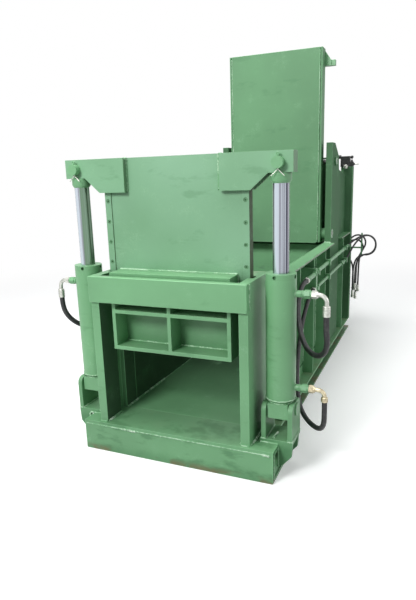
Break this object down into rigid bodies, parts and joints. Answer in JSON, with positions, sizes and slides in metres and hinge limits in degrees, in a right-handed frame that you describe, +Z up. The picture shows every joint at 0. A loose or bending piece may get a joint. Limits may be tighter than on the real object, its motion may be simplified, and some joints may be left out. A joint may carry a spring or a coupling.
{
  "type": "recycling baler",
  "caption": "Horizontal hydraulic baler with a two-cylinder lift gate at the front, a hinged lid over the feed opening and a long ram behind the press chamber.",
  "frame": {"origin": "middle of the front sill's underside, on the ground", "axes": "+X to the machine's right seen from its front, +Y from the gate to the rear, +Z up"},
  "size_m": [1.602, 4.18, 2.44],
  "materials": {
    "green_paint": "semi-gloss mid green enamel over welded plate, slightly patchy",
    "chromed_rod": "polished hard chrome",
    "zinc_fitting": "satin zinc plating, slightly yellowed",
    "bare_steel": "turned steel, lightly oiled",
    "black_valve": "matt black",
    "hose_rubber": "matt black wrapped rubber"
  },
  "bodies": {
    "frame": {"front_sill": "green_paint", "right_front_post": "green_paint", "left_front_post": "green_paint", "lintel_plate": "green_paint", "chamber_floor": "green_paint", "floor_beams": "green_paint", "chamber_walls": "green_paint", "side_flanges": "green_paint", "base_rails": "green_paint", "wall_stiffeners": "green_paint", "front_cover": "green_paint", "rear_cover": "green_paint", "towers": "green_paint", "tower_brace": "green_paint", "rear_crosshead": "green_paint", "gate_brackets": "green_paint", "right_gate_barrel": "green_paint", "left_gate_barrel": "green_paint", "gate_cylinder_heads": "green_paint", "main_barrel": "green_paint", "barrel_saddle": "green_paint", "hose_manifolds": "green_paint", "stub_pipes": "green_paint", "fixed_pipes": "green_paint", "pipe_clamps": "green_paint", "valve_stand": "green_paint", "hose_hanger": "green_paint", "port_elbows": "zinc_fitting", "hose_ferrules": "zinc_fitting", "rear_hose_ends": "zinc_fitting", "lid_shafts": "bare_steel", "gate_clevis_pins": "bare_steel", "flange_bolts": "bare_steel", "valve_block": "black_valve", "right_upper_hose": "hose_rubber", "right_lower_hose": "hose_rubber", "left_upper_hose": "hose_rubber", "rear_hose_a": "hose_rubber", "rear_hose_b": "hose_rubber", "stand_hoses": "hose_rubber"},
    "gate": {"gate_plate": "green_paint", "gate_ribs": "green_paint", "gate_strips": "green_paint", "strip_screws": "bare_steel", "gate_arms": "green_paint", "gate_rods": "chromed_rod", "rod_eyes": "bare_steel", "gate_pistons": "bare_steel", "arm_pins": "bare_steel", "split_pins": "bare_steel"},
    "ram": {"ram_box": "green_paint", "main_rod": "chromed_rod"},
    "lid": {"lid_skin": "green_paint", "lid_frame": "green_paint", "lid_lug_pins": "bare_steel", "lid_lock_bar": "green_paint"},
    "lid_barrels_body": {"lid_barrels": "green_paint"},
    "lid_rods_body": {"lid_rods": "chromed_rod"},
    "side_lever_body": {"side_lever": "bare_steel"},
    "knob_lever_body": {"knob_lever": "black_valve"}
  },
  "joints": [
    {"name": "gate_slide", "type": "slide", "parent": "frame", "child": "gate", "axis": [0, 0, 1], "range_m": [-0.425, 0]},
    {"name": "lid_swing", "type": "hinge", "parent": "frame", "child": "lid", "pos_m": [0, 1.988, 1.026], "axis": [1, 0, 0], "range_deg": [0, 90]},
    {"name": "ram_slide", "type": "slide", "parent": "frame", "child": "ram", "axis": [0, -1, 0], "range_m": [0, 1.5]},
    {"name": "lid_barrel_tilt", "type": "hinge", "parent": "frame", "child": "lid_barrels_body", "pos_m": [0, 2.048, 1.602], "axis": [1, 0, 0], "range_deg": [-3.2, 0.2]},
    {"name": "lid_rod_slide", "type": "slide", "parent": "lid_barrels_body", "child": "lid_rods_body", "axis": [0, -0.2077, -0.9782], "range_m": [0, 0.1564]},
    {"name": "side_lever_tilt", "type": "hinge", "parent": "frame", "child": "side_lever_body", "pos_m": [0.508, 2.79, 1.582], "axis": [0, 1, 0], "range_deg": [-12, 12], "stiffness_Nm_per_rad": 2},
    {"name": "knob_lever_tilt", "type": "hinge", "parent": "frame", "child": "knob_lever_body", "pos_m": [0.4845, 2.79, 1.612], "axis": [0, 1, 0], "range_deg": [0, 12], "stiffness_Nm_per_rad": 2}
  ],
  "couplings": [
    {"joint": "lid_barrel_tilt", "follows": "lid_swing", "ratio": -0.033426},
    {"joint": "lid_rod_slide", "follows": "lid_swing", "m_per_rad": 0.099451}
  ]
}
